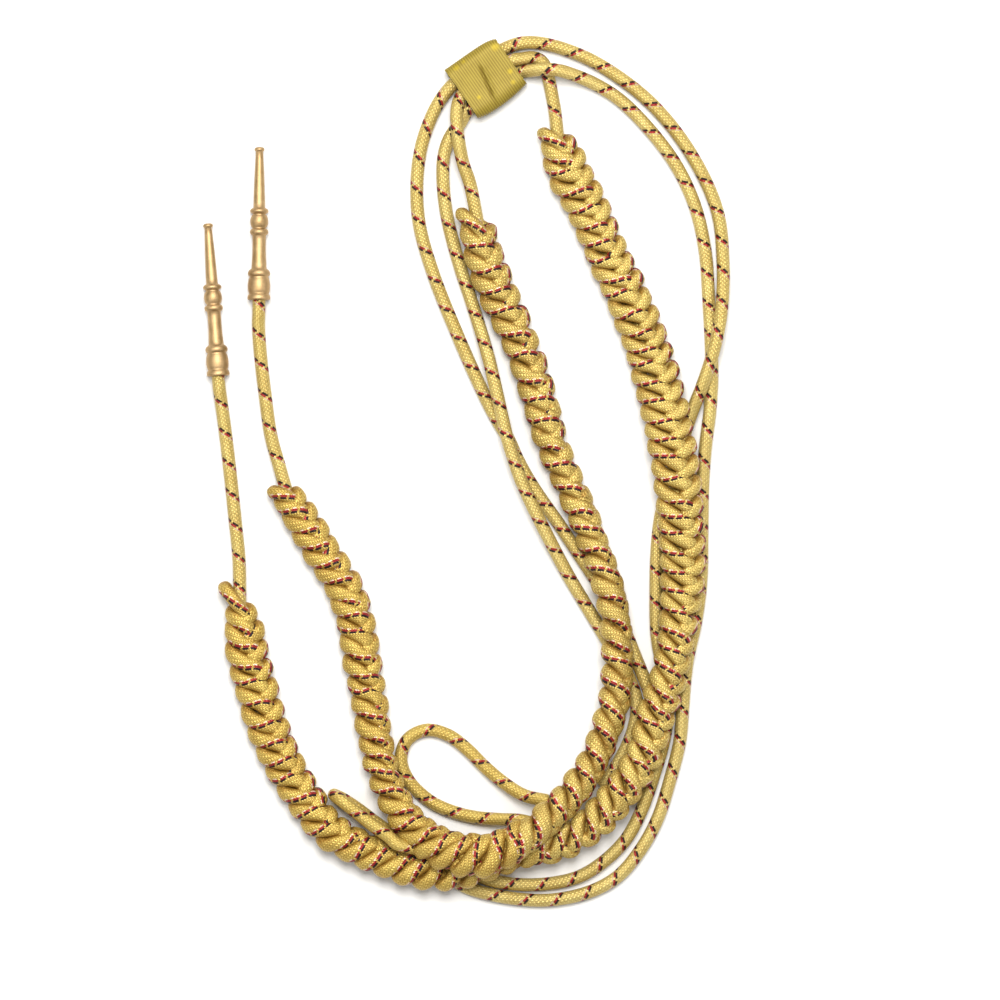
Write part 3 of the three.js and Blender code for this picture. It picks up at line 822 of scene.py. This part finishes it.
def tag_frame(place):
    """Where a tag's cord end is, and its direction as it lies on two of its beads."""
    (y_back, r_back), (y_front, r_front) = bulge("shoulder"), bulge("upper_collar")
    dip = math.asin((r_back - r_front) / (y_front - y_back))
    tip, foot = place["tip"], place["foot"]
    flat = unit(np.array([tip[0] - foot[0], foot[1] - tip[1]], float))
    along = np.array([flat[0] * math.cos(dip), flat[1] * math.cos(dip), -math.sin(dip)])
    height = (r_back / math.cos(dip) + y_back * math.sin(dip)) / 1000
    return on_grid((*foot, 0), height), along


def tag_profile():
    """Radius and place up the tag in millimetres, with soft edges on every turned bead."""
    bore = CORD_R * 1000 + SOCKET_ROOM
    deep = SOCKET_DEEP * 1000
    out = [(0.0, deep), (bore, deep), (bore, SOCKET_EDGE), (bore + SOCKET_EDGE, 0.0)]
    y = 0.0
    for name, long, r0, widest, r2 in TAG_ROWS:
        if name == "rim":
            out += [(r0 - RIM_EDGE, 0.0), (r0, RIM_EDGE)]
        if widest is None:
            bow = STEM_WAIST if name == "stem" else TAPER_SWELL
            for t in np.linspace(0, 1, 9):
                r = r0 + (r2 - r0) * t + bow * math.sin(math.pi * t)
                out.append((r, y + STEM_GAP + (long - 2 * STEM_GAP) * t))
        else:
            for t in np.linspace(0, 1, 11):
                rise = (widest - (r0 + r2) / 2) * math.sin(math.pi * t) ** BEAD_FULL
                out.append((r0 + (r2 - r0) * t + rise, y + BEAD_GAP + (long - 2 * BEAD_GAP) * t))
        y += long
    out += [(TIP_FLAT, y), (0.0, y)]
    return out


def tag(name, place):
    """A turned brass tag: its profile swept round, with small flat ends."""
    start, along = tag_frame(place)
    side = unit(np.cross(along, UP))
    other = np.cross(along, side)
    profile = tag_profile()
    verts, faces, uvs = [], [], []
    for r, y in profile:
        for j in range(TAG_SIDES):
            a = j / TAG_SIDES * 2 * math.pi
            spoke = side * math.cos(a) + other * math.sin(a)
            verts.append(start + along * y / 1000 + spoke * max(r, 0.001) / 1000)
    for i in range(len(profile) - 1):
        low, high = i * TAG_SIDES, (i + 1) * TAG_SIDES
        for j in range(TAG_SIDES):
            k = (j + 1) % TAG_SIDES
            faces.append((low + j, low + k, high + k, high + j))
            for at, row in ((j, i), (j + 1, i), (j + 1, i + 1), (j, i + 1)):
                uvs.append((at / TAG_SIDES, profile[row][1]))
    last = (len(profile) - 1) * TAG_SIDES
    faces.append(tuple(range(TAG_SIDES - 1, -1, -1)))
    faces.append(tuple(range(last, last + TAG_SIDES)))
    uvs += [(0.0, 0.0)] * (2 * TAG_SIDES)
    build_mesh(name + "_turned", verts, faces, uvs, BRASS, name)


def tag_cord(name, place, rows, plait_route, start):
    at, along = tag_frame(place)
    points = [at + along * (SOCKET_DEEP - GAP), at - along * STRAIGHT_OUT]
    points += laid(rows[:-1]) + meeting(plait_route)
    cord(name, points, start, GOLD)


tag("tag_left", TAG_LEFT)
tag("tag_right", TAG_RIGHT)
tag_cord("tag_cord_left", TAG_LEFT, TAG_CORD_LEFT, outer_lower_route, 0.7)
tag_cord("tag_cord_right", TAG_RIGHT, TAG_CORD_RIGHT, inner_lower_route, 2.2)


# Keeper band

def band_outline():
    """Places and outward directions round the band's section, evenly spaced."""
    x, y = BAND_WIDE / 2 - BAND_CORNER, BAND_HIGH / 2 - BAND_CORNER
    loop = []
    for cx, cy, first in ((x, -y, -90), (x, y, 0), (-x, y, 90), (-x, -y, 180)):
        for i in range(9):
            a = math.radians(first + i * 90 / 8)
            nx, ny = math.cos(a), math.sin(a)
            loop.append((cx + BAND_CORNER * nx, cy + BAND_CORNER * ny, nx, ny))
    loop = np.array(loop + loop[:1])
    steps = np.concatenate([[0], np.cumsum(np.hypot(*np.diff(loop[:, :2], axis=0).T))])
    where = np.arange(BAND_AROUND) / BAND_AROUND * steps[-1]
    return np.array([[np.interp(s, steps, loop[:, c]) for c in range(4)] for s in where])


def pressed_line(x, along):
    """The line pressed into the ribbon's face: its depth in metres, and the painted shade in its groove.
    A groove and a ridge beside it run aslant between two fading ends, over a soft wave."""
    slope, middle = 0.215, -0.0046
    left, left_fade, right, right_fade = -0.006, 0.001, 0.0112, 0.0012
    groove_half, ridge_half, ridge_off = 0.0008, 0.0011, 0.0017
    groove_deep, ridge_high, wave_high = 0.0006, 0.0005, 0.0003
    off = along + (x - middle) * slope
    reach = 1 / (1 + math.exp((left - x) / left_fade)) / (1 + math.exp((x - right) / right_fade))
    groove = reach * math.exp(-(off / groove_half) ** 2)
    ridge = reach * math.exp(-((off - ridge_off) / ridge_half) ** 2)
    wave = math.sin(x / 0.0045 + 1) * math.cos(along / 0.009)
    # The second value is painted shade in the groove
    return groove_deep * groove - ridge_high * ridge + wave_high * wave, 0.5 * groove


def belly(t, nx):
    """How far the band's two sides bulge, at share t of its length."""
    near_start = (1 - t) * (1 - (1 - t) ** 10)
    right = BELLY * (1 - (2 * t - 1) ** 2) + BELLY_SKEW * near_start
    left = BELLY * (1 - 1.5 * t ** 8)
    return right * max(nx, 0.0) - left * max(-nx, 0.0)


def keeper_band():
    """A ribbed ribbon wrapped round the cords: a closed sleeve with a pressed line on top."""
    outline = band_outline()
    rows = BAND_RIBS * RIB_ROWS
    axis = np.array([math.cos(BAND_TURN), math.sin(BAND_TURN), 0.0])
    across = np.array([math.sin(BAND_TURN), -math.cos(BAND_TURN), 0.0])
    centre = on_grid((BAND_U, BAND_V, 0), BAND_HIGH / 2)
    rng = np.random.default_rng(5)
    fray = rng.normal(0, FRAY, BAND_AROUND)
    fray_far = rng.normal(0, FRAY, BAND_AROUND)
    verts, faces, uvs = [], [], []
    painted_crease_shade = np.zeros(2 * (rows + 1) * BAND_AROUND, np.float32)
    for skin in (0, 1):
        for i in range(rows + 1):
            t = i / rows
            furrow = RIB_DEEP * (0.5 - 0.5 * math.cos(2 * math.pi * i / RIB_ROWS)) * (1 - skin)
            for j, (px, py, nx, ny) in enumerate(outline):
                along = (t - 0.5) * BAND_LONG + (1 - t) ** 12 * fray[j] + t ** 12 * fray_far[j]
                press = 0.0
                if py > 0 and ny > 0.3:
                    # The pressed line's depth, and the painted shade in its groove
                    press, painted_crease_shade[len(verts)] = pressed_line(px, along)
                inset = skin * BAND_WALL + press + furrow
                shift = px + belly(t, nx) - nx * inset
                verts.append(centre + axis * along + across * shift + np.array([0, 0, py - ny * inset]))
    block = (rows + 1) * BAND_AROUND
    for i in range(rows):
        low, high = i * BAND_AROUND, (i + 1) * BAND_AROUND
        v0, v1 = i / RIB_ROWS, (i + 1) / RIB_ROWS
        for j in range(BAND_AROUND):
            k = (j + 1) % BAND_AROUND
            u0, u1 = j / BAND_AROUND, (j + 1) / BAND_AROUND
            outer = (low + j, low + k, high + k, high + j)
            uv = [(u0, v0), (u1, v0), (u1, v1), (u0, v1)]
            faces += [outer, tuple(block + corner for corner in outer[::-1])]
            uvs += uv + uv[::-1]
    for i, flip in ((0, True), (rows, False)):
        for j in range(BAND_AROUND):
            ring = (i * BAND_AROUND + j, i * BAND_AROUND + (j + 1) % BAND_AROUND)
            quad = (ring[0], ring[1], block + ring[1], block + ring[0])
            faces.append(quad[::-1] if flip else quad)
            uvs += [(j / BAND_AROUND, i / RIB_ROWS)] * 4
    obj = build_mesh("keeper_band_ribbon", verts, faces, uvs, RIBBON, "keeper_band", painted_crease_shade)


keeper_band()


# Floor

floor_mesh = bpy.data.meshes.new("floor")
floor_mesh.from_pydata([(-4, -4, 0), (4, -4, 0), (4, 4, 0), (-4, 4, 0)], [], [(0, 1, 2, 3)])
floor = bpy.data.objects.new("floor", floor_mesh)
scene.collection.objects.link(floor)
floor_look = Nodes("floor")
floor_look.set(Base_Color=(0.76, 0.76, 0.76, 1), Roughness=0.9)
floor_mesh.materials.append(floor_look.material)
